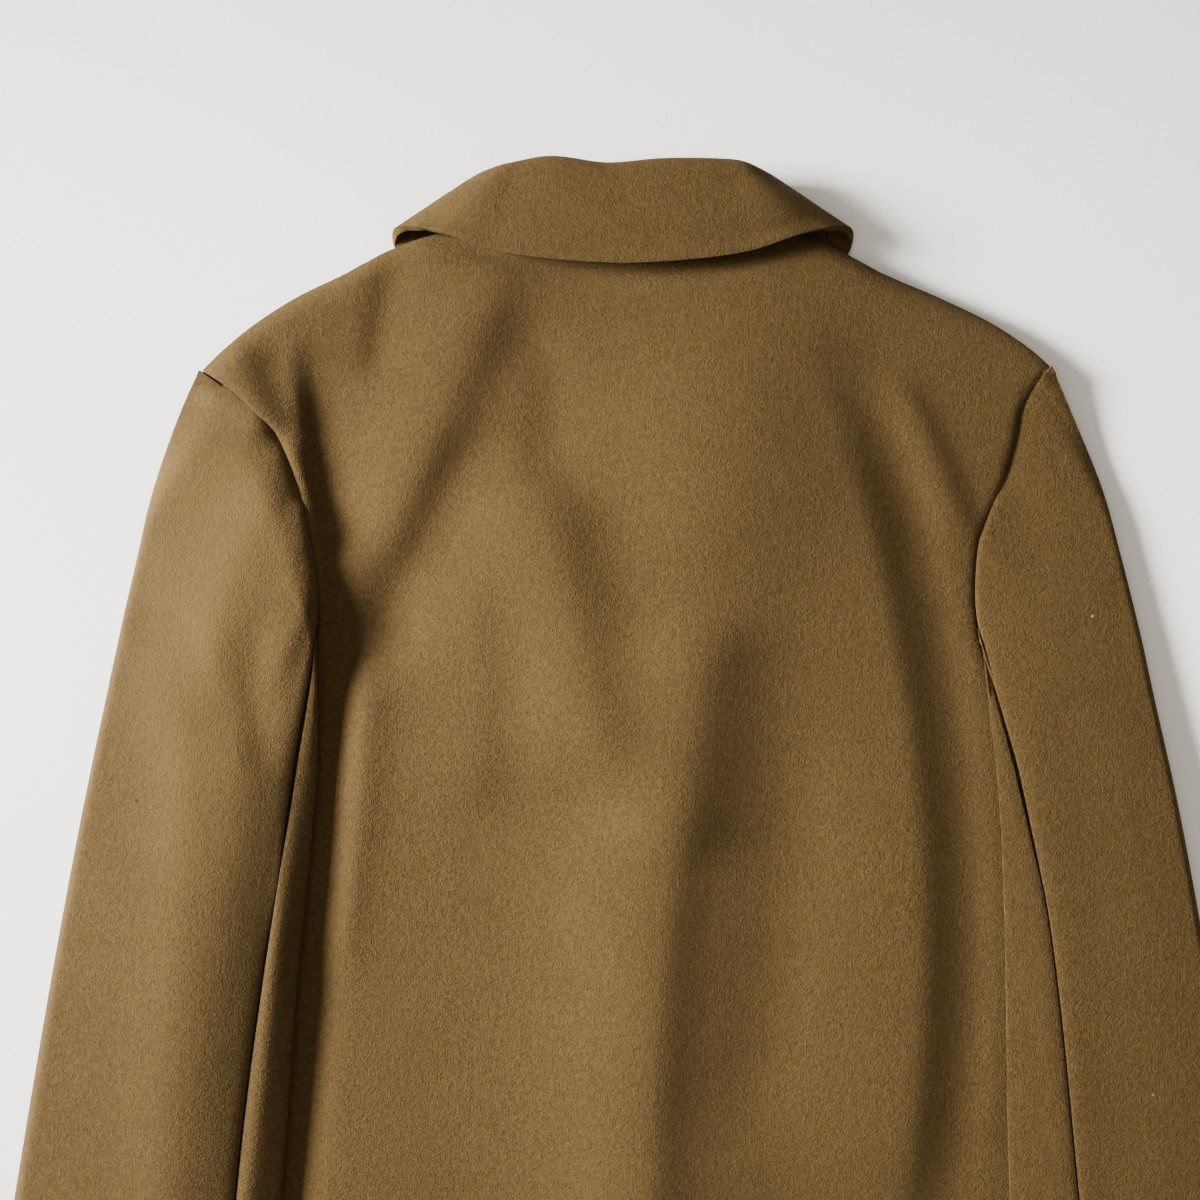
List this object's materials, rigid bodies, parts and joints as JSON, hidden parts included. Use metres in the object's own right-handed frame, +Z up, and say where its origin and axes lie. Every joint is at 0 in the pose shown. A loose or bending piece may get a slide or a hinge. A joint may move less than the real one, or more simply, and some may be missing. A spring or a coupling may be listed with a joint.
{
  "type": "fly-front coat laid flat on its front",
  "caption": "Camel wool overcoat with a turn-down collar and two-piece sleeves, laid flat with its back up.",
  "frame": {"origin": "centre of the bounding box, on the surface that the coat lies on", "axes": "+X to the wearer's right, +Y from the hem to the collar, +Z up, out of the back"},
  "size_m": [0.714, 1.014, 0.0306],
  "materials": {
    "melton": "fulled wool, short raised nap",
    "melton_under": "the same wool on the hidden pieces",
    "button": "satin"
  },
  "bodies": {
    "root": {"back": "melton", "front_left": "melton_under", "front_right": "melton_under", "fly_placket": "melton_under", "top_sleeve_left": "melton", "top_sleeve_right": "melton", "under_sleeve_left": "melton", "under_sleeve_right": "melton", "collar": "melton", "collar_stand": "melton_under", "button_1": "button", "button_2": "button", "button_3": "button", "button_4": "button"}
  },
  "joints": []
}
